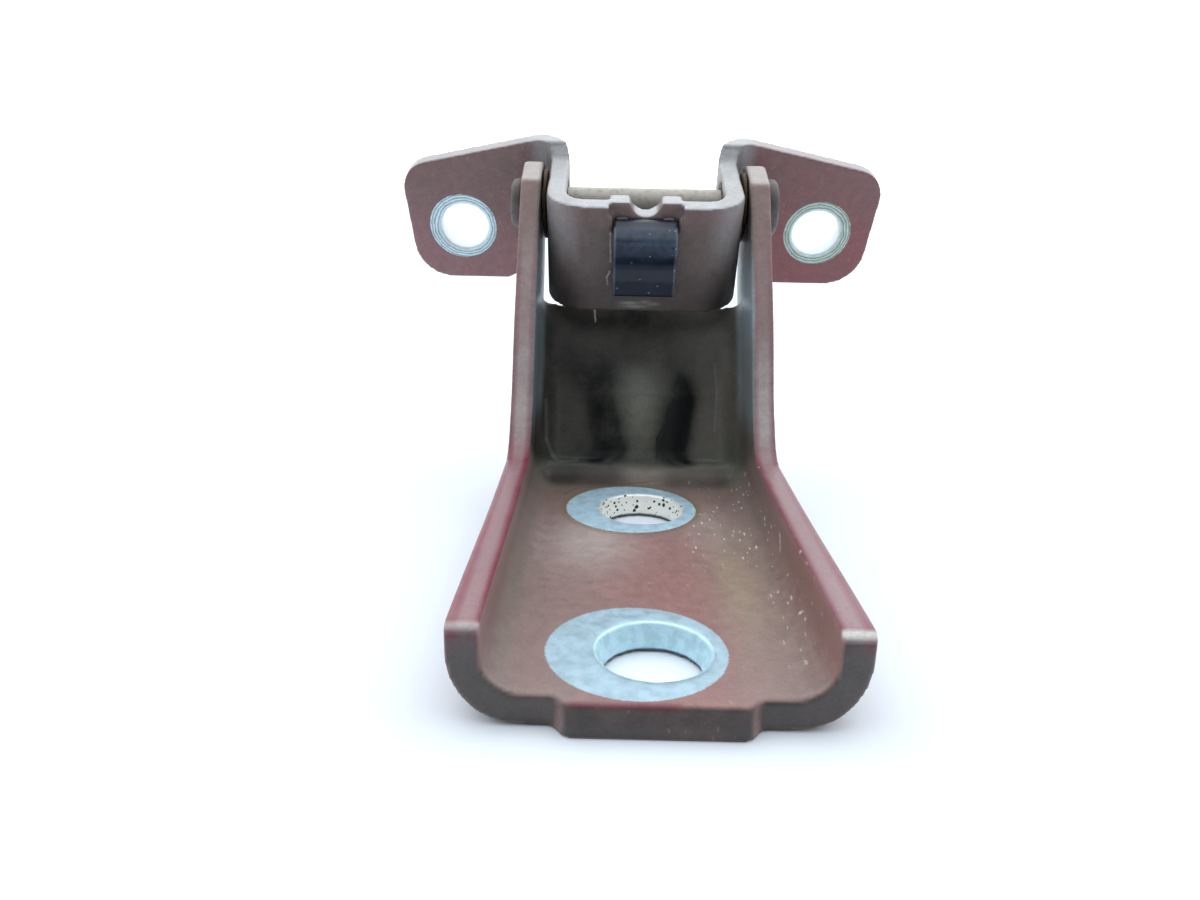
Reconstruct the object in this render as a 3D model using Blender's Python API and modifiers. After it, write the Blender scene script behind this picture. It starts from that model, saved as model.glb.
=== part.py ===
"""Vehicle door hinge in pressed steel: a body leaf, a door leaf, the pin and bushes that join them, and
a rubber buffer. Millimetres are turned to metres by MM. X runs along the pin, +Y from the body leaf's
open end to its back wall, +Z up. The origin lies between the two bolt holes, on the underside."""
from math import atan2, ceil, cos, pi, radians, sin, tan

import bmesh
import bpy
from mathutils import Matrix, Vector

MM = 0.001
ARC_STEP = radians(10)
GAP = 0.3

# Body leaf: a drawn channel whose back wall is bent up from the floor.
BODY_SHEET = 4.2
BODY_WIDTH = 50.2
BODY_INNER_RADIUS = 4.6
FLOOR_FRONT = -37.4
FLOOR_BEND = 42.4
FLANGE_HEIGHT = 13.2
WALL_ANGLE = radians(60)
WALL_TOP = 36.9
BEND_RADIUS = 6.0
LIP_REACH = 1.7
LIP_HALF_WIDTH = 10.9
BOLT_SPACING = 52.1
BOLT_HOLE_RADIUS = 7.5

# Pin and bushes.
PIN_Y = 63.4
PIN_Z = 57.5
PIN_RADIUS = 3.5
PIN_HEAD_RADIUS = 5.8
PIN_RIVET_RADIUS = 5.0
PIN_END_HEIGHT = 2.1
BUSH_WALL = 0.9
BUSH_FLANGE_RADIUS = 7.0

# Door leaf, in its own frame: X along the pin, Y away from the web, Z up the wings.
DOOR_LEAN = radians(21.4)
DOOR_SHEET = 4.0
HAT_WIDTH = 39.4
HAT_BEND_RADIUS = 4.0
WEB_FRONT = -15.6
WEB_TOP = 6.2
WEB_BOTTOM = -16.3
WING_FRONT = 13.0
WING_BEND_RADIUS = 5.0
WING_REACH = 53.4
WING_FOOT = -24.2
WING_HOLE_X = 40.0
WING_HOLE_Z = -11.45
WING_HOLE_RADIUS = 5.3
NECK_FOOT = -3.8
RELIEF_HALF_WIDTH = 27.5
NOTCH_RADIUS = 3.2
JOGGLE = 2.3
JOGGLE_HALF_WIDTH = 7.2
WINDOW_HALF_WIDTH = 5.7
WINDOW_TOP = 3.2
WINDOW_FOOT = -8.0

# Buffer.
BUFFER_WIDTH = 12.4

FAR = 80.0

for old in list(bpy.data.objects):
    bpy.data.objects.remove(old, do_unlink=True)
parts = bpy.data.collections.new("door_hinge")
cutters = bpy.data.collections.new("cutters")
bpy.context.scene.collection.children.link(parts)
bpy.context.scene.collection.children.link(cutters)

# How a flat outline drawn as (a, b) stands in the frame of the piece it belongs to.
IN_PLAN = Matrix.Identity(4)
FROM_FRONT = Matrix.Rotation(pi / 2, 4, "X")
FROM_SIDE = Matrix.Rotation(pi / 2, 4, "Z") @ Matrix.Rotation(pi / 2, 4, "X")


def rounded(corners):
    """Closed outline through corners given as (a, b, fillet radius), each fillet drawn as an arc."""
    outline = []
    for index, (a, b, radius) in enumerate(corners):
        corner = Vector((a, b))
        if radius == 0:
            outline.append(corner)
            continue
        before = (Vector(corners[index - 1][:2]) - corner).normalized()
        after = (Vector(corners[(index + 1) % len(corners)][:2]) - corner).normalized()
        half = before.angle(after) / 2
        centre = corner + (before + after).normalized() * (radius / sin(half))
        spoke = corner + before * (radius / tan(half)) - centre
        sweep = (pi - 2 * half) * (1 if after.cross(before) > 0 else -1)
        steps = max(1, ceil(abs(sweep) / ARC_STEP))
        for step in range(steps + 1):
            angle = atan2(spoke.y, spoke.x) + sweep * step / steps
            outline.append(centre + Vector((cos(angle), sin(angle))) * radius)
    return outline


def placed(thing, where):
    """Put a new object in its collection, and hide it from renders if it is a cutter."""
    where.objects.link(thing)
    if where is cutters:
        thing.hide_render = True
        thing.display_type = "WIRE"
    return thing


def plate(name, outline, low, high, stance, where=cutters):
    """Solid of an outline between two heights along the stance's own normal."""
    curve = bpy.data.curves.new(name, "CURVE")
    curve.dimensions = "2D"
    curve.fill_mode = "BOTH"
    curve.extrude = (high - low) / 2 * MM
    spline = curve.splines.new("POLY")
    spline.points.add(len(outline) - 1)
    for point, (a, b) in zip(spline.points, outline):
        point.co = (a * MM, b * MM, 0, 1)
    spline.use_cyclic_u = True
    drawn = bpy.data.objects.new(name + "_outline", curve)
    drawn.matrix_world = stance @ Matrix.Translation((0, 0, (low + high) / 2 * MM))
    bpy.context.scene.collection.objects.link(drawn)
    bpy.context.view_layer.update()
    mesh = bpy.data.meshes.new_from_object(drawn.evaluated_get(bpy.context.evaluated_depsgraph_get()))
    mesh.name = name
    clean = bmesh.new()
    clean.from_mesh(mesh)
    bmesh.ops.remove_doubles(clean, verts=clean.verts, dist=0.000001)
    bmesh.ops.dissolve_limit(clean, angle_limit=radians(0.5), verts=clean.verts, edges=clean.edges)
    bmesh.ops.recalc_face_normals(clean, faces=clean.faces)
    clean.to_mesh(mesh)
    clean.free()
    solid = bpy.data.objects.new(name, mesh)
    solid.matrix_world = drawn.matrix_world
    bpy.data.objects.remove(drawn, do_unlink=True)
    return placed(solid, where)


def rod(name, centre, axis, radius, length, sides=36):
    """Round cutter about an axis named X, Y or Z."""
    mesh = bpy.data.meshes.new(name)
    shape = bmesh.new()
    bmesh.ops.create_cone(
        shape, cap_ends=True, segments=sides, radius1=radius * MM, radius2=radius * MM, depth=length * MM)
    shape.to_mesh(mesh)
    shape.free()
    solid = bpy.data.objects.new(name, mesh)
    turn = {"X": (0, pi / 2, 0), "Y": (pi / 2, 0, 0), "Z": (0, 0, 0)}[axis]
    solid.rotation_euler = turn
    solid.location = Vector(centre) * MM
    return placed(solid, cutters)


def turned(name, profile, where=parts, sides=48):
    """Body turned about X from a profile of (distance along the pin, radius), from +X to -X."""
    mesh = bpy.data.meshes.new(name)
    shape = bmesh.new()
    rim = [shape.verts.new((radius * MM, 0, along * MM)) for along, radius in profile]
    for start, end in zip(rim, rim[1:]):
        shape.edges.new((start, end))
    if profile[0][1] > 0:
        shape.edges.new((rim[-1], rim[0]))
    shape.to_mesh(mesh)
    shape.free()
    solid = bpy.data.objects.new(name, mesh)
    solid.rotation_euler = (0, pi / 2, 0)
    screw = solid.modifiers.new("turn", "SCREW")
    screw.steps = sides
    screw.render_steps = sides
    screw.use_merge_vertices = True
    screw.merge_threshold = 0.00001
    screw.use_smooth_shade = True
    return placed(solid, where)


def boolean(solid, operation, tool):
    """Cut, join or trim a solid with another one."""
    step = solid.modifiers.new(tool.name, "BOOLEAN")
    step.operation = operation
    step.solver = "EXACT"
    step.object = tool


def finish(name, colour, roughness, metallic):
    """Principled material with a plain colour."""
    material = bpy.data.materials.new(name)
    material.use_nodes = True
    shader = material.node_tree.nodes["Principled BSDF"]
    shader.inputs["Base Color"].default_value = (*colour, 1)
    shader.inputs["Roughness"].default_value = roughness
    shader.inputs["Metallic"].default_value = metallic
    return material


def hang(solid, parent):
    """Hold a piece that was drawn in its parent's own frame."""
    solid.parent = parent


paint = finish("body_colour_paint", (0.16, 0.065, 0.07), 0.4, 0.0)
primer = finish("primer_and_paint", (0.11, 0.07, 0.068), 0.45, 0.0)
steel = finish("painted_pin_steel", (0.2, 0.17, 0.17), 0.4, 0.4)
bronze = finish("sintered_bronze", (0.35, 0.24, 0.12), 0.5, 1.0)
rubber = finish("buffer_rubber", (0.012, 0.015, 0.022), 0.5, 0.0)


# ---- body leaf -------------------------------------------------------------------------------------

along_wall = Vector((cos(WALL_ANGLE), sin(WALL_ANGLE)))
off_wall = Vector((sin(WALL_ANGLE), -cos(WALL_ANGLE)))
inner_bend = Vector((FLOOR_BEND, BODY_SHEET))
outer_bend = Vector((FLOOR_BEND + BODY_SHEET * tan(WALL_ANGLE / 2), 0))
wall_run = (WALL_TOP - BODY_SHEET) / sin(WALL_ANGLE)
wall_inner_top = inner_bend + along_wall * wall_run
wall_outer_top = wall_inner_top + off_wall * BODY_SHEET
half_width = BODY_WIDTH / 2
ear_inner = half_width - BODY_SHEET

side_outline = rounded([
    (FLOOR_FRONT, 0, 0),
    (*outer_bend, BEND_RADIUS + BODY_SHEET),
    (*wall_outer_top, 8),
    (PIN_Y + 10.6, PIN_Z + 5.8, 6),
    (PIN_Y + 2.6, PIN_Z + 8.8, 5),
    (PIN_Y - 6.4, PIN_Z + 4.9, 0.8),
    (41.2, 35.9, 30),
    (35.4, 23.0, 20),
    (28.6, FLANGE_HEIGHT, 8),
    (FLOOR_FRONT, FLANGE_HEIGHT, 1.6),
])
body_leaf = plate("body_leaf", side_outline, -half_width, half_width, FROM_SIDE, parts)
body_leaf.data.materials.append(paint)


def channel(name, half, sheet, radius):
    """The two tools that round a channel's long edges: one for the floor's run, one for the wall's."""
    floor_section = rounded([(-half, sheet, radius), (half, sheet, radius), (half, FAR, 0), (-half, FAR, 0)])
    floor_run = plate(name + "_floor_run", floor_section, -FAR, FAR, FROM_FRONT)
    wall_run_tool = plate(name + "_wall_run", floor_section, -FAR, FAR, FROM_FRONT)
    bend_point = inner_bend if sheet else outer_bend
    level = Matrix.Translation((0, 0, -sheet * MM))
    turn = Matrix.Translation((0, bend_point.x * MM, bend_point.y * MM)) @ Matrix.Rotation(WALL_ANGLE, 4, "X")
    wall_run_tool.matrix_world = turn @ level @ wall_run_tool.matrix_world
    return floor_run, wall_run_tool


for tool in channel("outer", half_width, 0, BODY_INNER_RADIUS + BODY_SHEET):
    boolean(body_leaf, "INTERSECT", tool)

trough_outline = rounded([
    (-FAR, BODY_SHEET, 0),
    (*inner_bend, BEND_RADIUS),
    (*(inner_bend + along_wall * FAR), 0),
    (-FAR, BODY_SHEET + FAR * sin(WALL_ANGLE), 0),
])
trough = plate("trough", trough_outline, -ear_inner, ear_inner, FROM_SIDE)
for tool in channel("inner", ear_inner, BODY_SHEET, BODY_INNER_RADIUS):
    boolean(trough, "INTERSECT", tool)
boolean(body_leaf, "DIFFERENCE", trough)

over_front = wall_inner_top - off_wall * 3
over_back = wall_inner_top + off_wall * 12
over_wall_outline = [over_front, over_back, (FAR + 15, over_back.y), (FAR + 15, FAR), (over_front.x, FAR)]
over_wall = plate("over_wall", over_wall_outline, -ear_inner, ear_inner, FROM_SIDE)
boolean(body_leaf, "DIFFERENCE", over_wall)

lip_front = FLOOR_FRONT - LIP_REACH
lip_outline = rounded([
    (-LIP_HALF_WIDTH - LIP_REACH - 1, FLOOR_FRONT + 1, 0),
    (-LIP_HALF_WIDTH, lip_front, 1.2),
    (LIP_HALF_WIDTH, lip_front, 1.2),
    (LIP_HALF_WIDTH + LIP_REACH + 1, FLOOR_FRONT + 1, 0),
])
lip = plate("lip", lip_outline, 0, BODY_SHEET, IN_PLAN)
boolean(body_leaf, "UNION", lip)

for side, bolt_y in (("front", -BOLT_SPACING / 2), ("back", BOLT_SPACING / 2)):
    boolean(body_leaf, "DIFFERENCE", rod("bolt_" + side, (0, bolt_y, 0), "Z", BOLT_HOLE_RADIUS, 20))
pin_bore = rod("ear_bore", (0, PIN_Y, PIN_Z), "X", PIN_RADIUS + GAP, 2 * FAR)
boolean(body_leaf, "DIFFERENCE", pin_bore)


# ---- the frame that turns about the pin --------------------------------------------------------------

door_pivot = bpy.data.objects.new("door_pivot", None)
door_pivot.location = (0, PIN_Y * MM, PIN_Z * MM)
door_pivot.rotation_euler = (DOOR_LEAN, 0, 0)
parts.objects.link(door_pivot)


# ---- door leaf --------------------------------------------------------------------------------------

hat_half = HAT_WIDTH / 2
hat_inner = hat_half - DOOR_SHEET
web_back = WEB_FRONT + DOOR_SHEET
wing_back = WING_FRONT + DOOR_SHEET
wing_end = WING_REACH + 1
outer_hat_radius = HAT_BEND_RADIUS + DOOR_SHEET
outer_wing_radius = WING_BEND_RADIUS + DOOR_SHEET

hat_outline = rounded([
    (-wing_end, WING_FRONT, 0),
    (-hat_half, WING_FRONT, WING_BEND_RADIUS),
    (-hat_half, WEB_FRONT, outer_hat_radius),
    (hat_half, WEB_FRONT, outer_hat_radius),
    (hat_half, WING_FRONT, WING_BEND_RADIUS),
    (wing_end, WING_FRONT, 0),
    (wing_end, wing_back, 0),
    (hat_inner, wing_back, outer_wing_radius),
    (hat_inner, web_back, HAT_BEND_RADIUS),
    (-hat_inner, web_back, HAT_BEND_RADIUS),
    (-hat_inner, wing_back, outer_wing_radius),
    (-wing_end, wing_back, 0),
])
door_leaf = plate("door_leaf", hat_outline, WING_FOOT - 1, 12, IN_PLAN, parts)
door_leaf.data.materials.append(primer)

joggled = plate(
    "joggled", rounded([(-JOGGLE_HALF_WIDTH, 1.4, 0), (JOGGLE_HALF_WIDTH, 1.4, 0),
                        (JOGGLE_HALF_WIDTH, 8, 0), (-JOGGLE_HALF_WIDTH, 8, 0)]),
    -web_back - JOGGLE, -web_back + 0.2, FROM_FRONT)
boolean(door_leaf, "UNION", joggled)
setback = plate(
    "setback", [(-JOGGLE_HALF_WIDTH, 1.0), (JOGGLE_HALF_WIDTH, 1.0),
                (JOGGLE_HALF_WIDTH, 14), (-JOGGLE_HALF_WIDTH, 14)],
    -WEB_FRONT - JOGGLE, -WEB_FRONT + 3, FROM_FRONT)
boolean(door_leaf, "DIFFERENCE", setback)

wing_outline = rounded([
    (WING_REACH - 2, WING_FOOT, 8.5),
    (WING_REACH, 2.1, 6.5),
    (21.5, 9.0, 5),
    (-21.5, 9.0, 5),
    (-WING_REACH, 2.1, 6.5),
    (-WING_REACH + 2, WING_FOOT, 8.5),
])
boolean(door_leaf, "INTERSECT", plate("wing_blank", wing_outline, -FAR, FAR, FROM_FRONT))

rim_outline = rounded([
    (-FAR, WEB_TOP, 0),
    (8.6, WEB_TOP, 1.0),
    (11.4, 8.6, 1.5),
    (12.8, 14, 0),
    (12.8, 30, 0),
    (-FAR, 30, 0),
])
boolean(door_leaf, "DIFFERENCE", plate("rim_trim", rim_outline, -24, 24, FROM_SIDE))

foot_outline = rounded([
    (-FAR, WEB_BOTTOM, 0),
    (-6.5, WEB_BOTTOM, 3),
    (6.2, NECK_FOOT, 3),
    (7.6, NECK_FOOT, 0),
    (7.6, -FAR, 0),
    (-FAR, -FAR, 0),
])
boolean(door_leaf, "DIFFERENCE", plate("foot_trim", foot_outline, -FAR, FAR, FROM_SIDE))

under_foot = WING_FOOT - 0.05
relief_outline = rounded([
    (-RELIEF_HALF_WIDTH - 10, -FAR, 0),
    (RELIEF_HALF_WIDTH + 10, -FAR, 0),
    (RELIEF_HALF_WIDTH + 10, under_foot, 0),
    (RELIEF_HALF_WIDTH, under_foot, 4),
    (RELIEF_HALF_WIDTH, NECK_FOOT, 5),
    (-RELIEF_HALF_WIDTH, NECK_FOOT, 5),
    (-RELIEF_HALF_WIDTH, under_foot, 4),
    (-RELIEF_HALF_WIDTH - 10, under_foot, 0),
])
boolean(door_leaf, "DIFFERENCE", plate("ear_relief", relief_outline, -FAR, -7.4, FROM_FRONT))

window_outline = rounded([
    (-WINDOW_HALF_WIDTH, WINDOW_FOOT, 1),
    (WINDOW_HALF_WIDTH, WINDOW_FOOT, 1),
    (WINDOW_HALF_WIDTH, WINDOW_TOP, 0.6),
    (3.8, WINDOW_TOP, 0),
    (3.2, WINDOW_TOP - 0.9, 0),
    (-3.2, WINDOW_TOP - 0.9, 0),
    (-3.8, WINDOW_TOP, 0),
    (-WINDOW_HALF_WIDTH, WINDOW_TOP, 0.6),
])
boolean(door_leaf, "DIFFERENCE", plate("window", window_outline, 6, 24, FROM_FRONT))
notch_height = WEB_TOP + 0.4
boolean(door_leaf, "DIFFERENCE", rod("notch", (0, WEB_FRONT, notch_height), "Y", NOTCH_RADIUS, 20))
for side in (-1, 1):
    hole = rod(f"wing_bolt_{side}", (side * WING_HOLE_X, WING_FRONT, WING_HOLE_Z), "Y", WING_HOLE_RADIUS, 20)
    boolean(door_leaf, "DIFFERENCE", hole)
bush_bore = rod("bush_bore", (0, 0, 0), "X", PIN_RADIUS + BUSH_WALL + 2 * GAP, HAT_WIDTH + 4)
boolean(door_leaf, "DIFFERENCE", bush_bore)


# ---- pin and bushes -----------------------------------------------------------------------------------

seat = half_width + GAP
pin_profile = [
    (seat + PIN_END_HEIGHT, 0),
    (seat + PIN_END_HEIGHT, PIN_HEAD_RADIUS - 1.4),
    (seat + PIN_END_HEIGHT - 0.4, PIN_HEAD_RADIUS - 0.4),
    (seat + PIN_END_HEIGHT - 1.3, PIN_HEAD_RADIUS),
    (seat, PIN_HEAD_RADIUS),
    (seat, PIN_RADIUS),
    (-seat, PIN_RADIUS),
    (-seat, PIN_RIVET_RADIUS),
    (-seat - PIN_END_HEIGHT + 1.2, PIN_RIVET_RADIUS),
    (-seat - PIN_END_HEIGHT + 0.3, PIN_RIVET_RADIUS - 0.6),
    (-seat - PIN_END_HEIGHT, PIN_RIVET_RADIUS - 1.8),
    (-seat - PIN_END_HEIGHT, 0),
]
hinge_pin = turned("hinge_pin", pin_profile)
hinge_pin.location = (0, PIN_Y * MM, PIN_Z * MM)
hinge_pin.data.materials.append(steel)

bush_inner = PIN_RADIUS + GAP
bush_outer = bush_inner + BUSH_WALL
flange_out = ear_inner - GAP
flange_in = hat_half + GAP
bush_profile = [
    (flange_out, bush_inner),
    (flange_out, BUSH_FLANGE_RADIUS),
    (flange_in, BUSH_FLANGE_RADIUS),
    (flange_in, bush_outer),
    (hat_inner, bush_outer),
    (hat_inner, bush_inner),
]
bush_right = turned("bush_right", bush_profile, sides=36)
bush_left = turned("bush_left", bush_profile, sides=36)
bush_left.rotation_euler = (0, -pi / 2, 0)
for bush in (bush_right, bush_left):
    bush.data.materials.append(bronze)


# ---- buffer --------------------------------------------------------------------------------------------

face = WEB_FRONT - GAP
hook = web_back + GAP
buffer_outline = rounded([
    (face, -11.2, 0.4),
    (face, WINDOW_FOOT + 0.4, 0),
    (hook, WINDOW_FOOT + 0.4, 0),
    (hook, -10.2, 0.6),
    (hook + 1.8, -10.2, 0.8),
    (hook + 1.8, 0.6, 0.8),
    (hook, 0.6, 0),
    (hook, 1.9, 0),
    (face + 0.4, 1.9, 0.4),
    (face - 1.2, 2.4, 1.2),
    (face - 3.4, 1.0, 1.8),
    (face - 3.6, -2.0, 2.0),
    (face - 2.3, -4.8, 2.5),
    (face - 3.3, -7.5, 2.5),
    (face - 3.2, -11.2, 0.8),
])
stop_buffer = plate(
    "stop_buffer", buffer_outline, -BUFFER_WIDTH / 2, BUFFER_WIDTH / 2, FROM_SIDE, parts)
stop_buffer.data.materials.append(rubber)

neck_side = WINDOW_HALF_WIDTH - GAP
beside_neck = [(face, -FAR), (FAR, -FAR), (FAR, FAR), (face, FAR)]
neck_trims = [
    plate("neck_trim_right", beside_neck, neck_side, neck_side + 4, FROM_SIDE),
    plate("neck_trim_left", beside_neck, -neck_side - 4, -neck_side, FROM_SIDE),
]
for neck_trim in neck_trims:
    boolean(stop_buffer, "DIFFERENCE", neck_trim)

for tool in (joggled, setback, bush_bore, *neck_trims):
    hang(tool, door_pivot)
turning_cutters = ("wing_blank", "rim_trim", "foot_trim", "ear_relief", "window", "notch",
                   "wing_bolt_-1", "wing_bolt_1")
for tool_name in turning_cutters:
    hang(cutters.objects[tool_name], door_pivot)
for piece in (door_leaf, bush_right, bush_left, stop_buffer):
    hang(piece, door_pivot)
bpy.context.view_layer.update()
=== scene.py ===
"""A pressed-steel vehicle door hinge that stands on its body leaf, piece by piece as it is put
together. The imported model's own frame is used: metres, X along the pin, Z up."""
from math import cos, pi, radians, sin

import bmesh
import bpy
import numpy as np
from mathutils import Matrix, Vector


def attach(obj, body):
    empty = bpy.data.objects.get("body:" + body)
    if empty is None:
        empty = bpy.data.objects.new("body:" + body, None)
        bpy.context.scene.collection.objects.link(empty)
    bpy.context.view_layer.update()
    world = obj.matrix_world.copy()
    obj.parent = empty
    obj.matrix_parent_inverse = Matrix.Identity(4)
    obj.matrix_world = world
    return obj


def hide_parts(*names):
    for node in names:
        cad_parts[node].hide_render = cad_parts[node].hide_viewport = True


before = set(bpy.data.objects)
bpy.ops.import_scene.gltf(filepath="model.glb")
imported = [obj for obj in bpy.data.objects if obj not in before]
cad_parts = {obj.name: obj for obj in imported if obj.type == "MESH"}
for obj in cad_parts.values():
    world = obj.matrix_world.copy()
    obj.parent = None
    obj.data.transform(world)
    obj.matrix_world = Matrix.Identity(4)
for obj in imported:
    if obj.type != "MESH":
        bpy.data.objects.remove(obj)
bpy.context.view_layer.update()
scene = bpy.context.scene
MM = 0.001


# ---- Camera --------------------------------------------------------------------------------------
# It stands a little higher than the pin, some 95 mm in front of the body leaf's open end, so that
# the channel runs away from it and the door leaf's wings show face on.

EYE = Vector((-7.04, -131.6, 64.05))

camera = bpy.data.objects.new("camera", bpy.data.cameras.new("camera"))
camera.data.sensor_width = 36
camera.data.lens = 27.03
camera.data.clip_start = 0.005
pitch, yaw, roll = radians(17.148), radians(-0.305), radians(1.177)
ahead = Vector((sin(yaw) * cos(pitch), cos(yaw) * cos(pitch), -sin(pitch)))
level = Vector((cos(yaw), -sin(yaw), 0))
above = level.cross(ahead)
across = level * cos(roll) + above * sin(roll)
upward = above * cos(roll) - level * sin(roll)
facing = Matrix((across, upward, -ahead)).transposed().to_4x4()
camera.matrix_world = Matrix.Translation(EYE * MM) @ facing
scene.collection.objects.link(camera)
scene.camera = camera


# ---- Body leaf -----------------------------------------------------------------------------------
# Pressed in one tool from 4.2 mm hot-rolled steel: a channel with two ears and a back wall folded
# up between them. It is dipped in grey-brown primer, and the wine-red body colour reaches it as
# overspray. Two bolts with washers hold it, and leave bare zinc-coated rings.

BODY_SHEET = 4.2
BODY_SKIN = 0.5 * MM
EAR_FACE = 25.4
FLANGE_FACE = EAR_FACE - BODY_SHEET
EDGE_MIDDLE = 23.0
CUT_EDGE_OUT = np.array((0, -0.5, 0.866))
OPEN_END = -37.0
LIP_EDGE = -38.9
END_LEAN = 0.35
LIP_LEAN = 0.55
SPLAY = 0.45
BODY_BOLT_Y = 26.05
BODY_BORE = 7.5
BODY_BORE_FLARE = 0.75
BODY_WASHER = 12.0
WALL_FOOT = np.array((0, 42.4, BODY_SHEET))
WALL_UP = np.array((0, 0.5, 0.866))
WALL_OUT = np.array((0, -0.866, 0.5))
RIB_X = 0.7
RIB_HEIGHT = 1.2
POCKET_DEPTH = 1.4


def skin_of(name, node, voxel, passes):
    """One even skin over a solid, with the soft edges that blanking, moulding or paint give it."""
    piece = bpy.data.objects.new(name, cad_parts[node].data.copy())
    scene.collection.objects.link(piece)
    piece.data.materials.clear()
    remesh = piece.modifiers.new("skin", "REMESH")
    remesh.mode = "VOXEL"
    remesh.voxel_size = voxel
    remesh.use_smooth_shade = True
    soften = piece.modifiers.new("roll_over", "SMOOTH")
    soften.factor = 0.5
    soften.iterations = passes
    depsgraph = bpy.context.evaluated_depsgraph_get()
    skin = bpy.data.meshes.new_from_object(piece.evaluated_get(depsgraph))
    piece.modifiers.clear()
    piece.data = skin
    skin.name = name
    return piece


def read(piece, what):
    """A piece's vertex places in millimetres ("co") or its vertex normals ("normal")."""
    found = np.empty(len(piece.data.vertices) * 3, np.float32)
    piece.data.vertices.foreach_get(what, found)
    return found.reshape(-1, 3).astype(float) / (MM if what == "co" else 1)


def move_to(piece, at):
    """Put a piece's vertices at these places in millimetres."""
    piece.data.vertices.foreach_set("co", (at * MM).astype(np.float32).ravel())
    piece.data.update()


def ramp(value, start, end):
    """Smooth step from 0 at start to 1 at end, either way round."""
    t = np.clip((value - start) / (end - start), 0, 1)
    return t * t * (3 - 2 * t)


def patch(*spans):
    """A soft patch: 1 at the middle of every (value, middle, half width) and fading away from it."""
    return np.exp(-sum(((value - middle) / half) ** 2 for value, middle, half in spans))


def lay(piece, **finishes):
    """Where each finish lies on a piece, from 0 to 1, for its material to read."""
    for name, amount in finishes.items():
        layer = piece.data.attributes.new(name, "FLOAT", "POINT")
        layer.data.foreach_set("value", np.clip(amount, 0, 1).astype(np.float32))


def linear(code):
    """Linear colour of an sRGB hex code."""
    parts = [int(code[i:i + 2], 16) / 255 for i in (1, 3, 5)]
    return (*[p / 12.92 if p <= 0.04045 else ((p + 0.055) / 1.055) ** 2.4 for p in parts], 1)


def add(tree, kind, inputs=None, **settings):
    """Add a shader node with its settings, its values and its links."""
    made = tree.nodes.new("ShaderNode" + kind)
    for name, value in settings.items():
        setattr(made, name, value)
    for socket, value in (inputs or {}).items():
        if isinstance(value, bpy.types.NodeSocket):
            tree.links.new(value, made.inputs[socket])
        else:
            made.inputs[socket].default_value = value
    return made


def start_material(name):
    """A new material with its node tree, its shader and the place on its piece in millimetres."""
    material = bpy.data.materials.new(name)
    material.use_nodes = True
    tree = material.node_tree
    own = add(tree, "TexCoord").outputs["Object"]
    spot = add(tree, "VectorMath", {0: own, "Scale": 1 / MM}, operation="SCALE").outputs[0]
    return material, tree, tree.nodes["Principled BSDF"], spot


body_leaf = skin_of("body_leaf_pressing", "body_leaf", BODY_SKIN, 4)
at = read(body_leaf, "co")
x, y, z = at.T
beside = np.abs(x)
climb = (at - WALL_FOOT) @ WALL_UP
proud = (at - WALL_FOOT) @ WALL_OUT
wall_front = ramp(proud, -9, -6) * ramp(proud, 4, 1.5)
on_wall = ramp(climb, 1.5, 4.5) * ramp(beside, 20.9, 19.2) * wall_front

# The rib between the wall's two pressed pockets is a teardrop: widest two thirds of the way up,
# with a neck above the bend.
rib_half = np.interp(climb, (0, 3, 6, 12, 18, 22, 26), (7.0, 5.2, 3.4, 4.6, 5.8, 5.2, 3.0))
from_rib = np.abs(x - RIB_X) - rib_half
rib = ramp(from_rib, 2.2, -5.0) * np.interp(climb, (3, 9, 18, 23, 29), (0.2, 0.8, 1, 0.6, 0))
pocket_height = ramp(climb, 2.4, 4.8) * ramp(climb, 31, 17)
pocket = ramp(from_rib, 0.6, 6.4) * ramp(beside, 20.2, 16.0) * pocket_height
at += np.outer(on_wall * (RIB_HEIGHT * rib - POCKET_DEPTH * pocket), WALL_OUT)

# Blanking leaves the open end leaning out towards its lower edge, where the flanges also spring
# apart a little, and the bolt holes, punched from below, opening out upwards.
lean = ramp(y, OPEN_END + 0.4, OPEN_END - 0.2) * ramp(z, 4.6, 0.4)
at[:, 1] -= lean * (END_LEAN + LIP_LEAN * ramp(beside, 12.6, 11.0))
sprung = ramp(beside, 17, 22) * ramp(y, 8, -38)
at[:, 0] += SPLAY * sprung * np.sign(x)
for bolt_y in (-BODY_BOLT_Y, BODY_BOLT_Y):
    arm = at[:, :2] - (0, bolt_y)
    reach = np.linalg.norm(arm, axis=1)
    punched = ramp(reach, 8.6, 7.6) * ramp(z, 3.6, 0.6) * ramp(z, 6, 5)
    at[:, :2] -= arm * (BODY_BORE_FLARE * punched / reach)[:, None]
move_to(body_leaf, at)

# The faces that the finishes keep to. Each ramp and patch is given in millimetres.
faces = read(body_leaf, "normal")
beside = np.abs(x)
left, right = ramp(x, 4, -4), ramp(x, -4, 4)
inside = ramp(beside, FLANGE_FACE + 0.4, FLANGE_FACE - 0.3)
outside = ramp(beside, FLANGE_FACE - 0.3, FLANGE_FACE + 0.4)
floor = inside * ramp(z, 6.5, 5)
wall_face = ramp(climb, 0.5, 4.5) * ramp(proud, -3.2, -2.2) * inside
flange_height = ramp(z, 13, 22) * ramp(z, 58, 44)
flange_face = inside * ramp(beside, 19.6, 20.8) * flange_height
edge_up = ramp(faces @ CUT_EDGE_OUT, 0.35, 0.7)
cut_edge = ramp(beside, 20.5, 21.1) * ramp(z, 9, 12.5) * edge_up
rims = ramp(np.abs(beside - EDGE_MIDDLE), 0.6, 1.7)

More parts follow.
